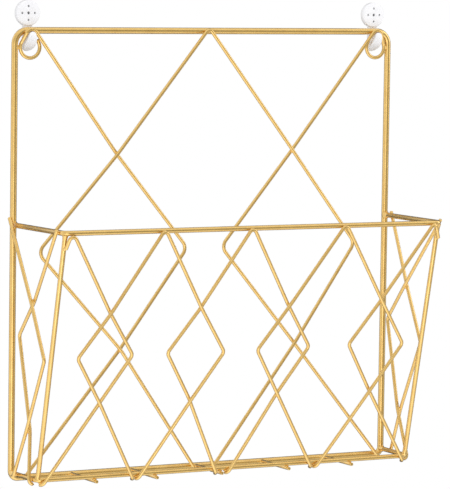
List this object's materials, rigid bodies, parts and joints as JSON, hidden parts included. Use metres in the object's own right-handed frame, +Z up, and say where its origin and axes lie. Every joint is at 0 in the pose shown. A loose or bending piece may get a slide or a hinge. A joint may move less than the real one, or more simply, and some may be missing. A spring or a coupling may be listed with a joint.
{
  "type": "wall file holder",
  "caption": "Wall-hung wire basket for files and magazines: a tall back frame with a leaning lattice pocket, hung by curled eyes on two round nail-on hooks.",
  "frame": {"origin": "on the wall plane, midway between the two hooks, at the height of their round heads' centres", "axes": "+X to the right as seen from the room, +Y into the wall, +Z up"},
  "size_m": [0.3256, 0.0935, 0.3508],
  "materials": {
    "gold_wire": "satin gold coating on round steel wire",
    "white_plastic": "smooth white moulded plastic",
    "nail_steel": "plain steel nails, set slightly below the hook's face"
  },
  "bodies": {
    "wall_hooks": {"hook_left": "white_plastic", "hook_right": "white_plastic", "nail_left_1": "nail_steel", "nail_left_2": "nail_steel", "nail_left_3": "nail_steel", "nail_left_4": "nail_steel", "nail_left_5": "nail_steel", "nail_right_1": "nail_steel", "nail_right_2": "nail_steel", "nail_right_3": "nail_steel", "nail_right_4": "nail_steel", "nail_right_5": "nail_steel"},
    "rack": {"back_frame": "gold_wire", "back_wire_left": "gold_wire", "back_wire_middle": "gold_wire", "back_wire_right": "gold_wire", "pocket_rim": "gold_wire", "floor_rail": "gold_wire", "corner_post_left": "gold_wire", "corner_post_right": "gold_wire", "front_wire_1": "gold_wire", "front_wire_2": "gold_wire", "front_wire_3": "gold_wire", "front_wire_4": "gold_wire", "front_wire_5": "gold_wire", "side_wire_left_inner": "gold_wire", "side_wire_left_outer": "gold_wire", "side_wire_right_inner": "gold_wire", "side_wire_right_outer": "gold_wire", "floor_wire_1": "gold_wire", "floor_wire_2": "gold_wire", "floor_wire_3": "gold_wire", "floor_wire_4": "gold_wire", "floor_wire_5": "gold_wire"}
  },
  "joints": [
    {"name": "rack_lift_off", "type": "slide", "parent": "wall_hooks", "child": "rack", "axis": [0, -0.5, 0.866], "range_m": [0, 0.04]}
  ]
}
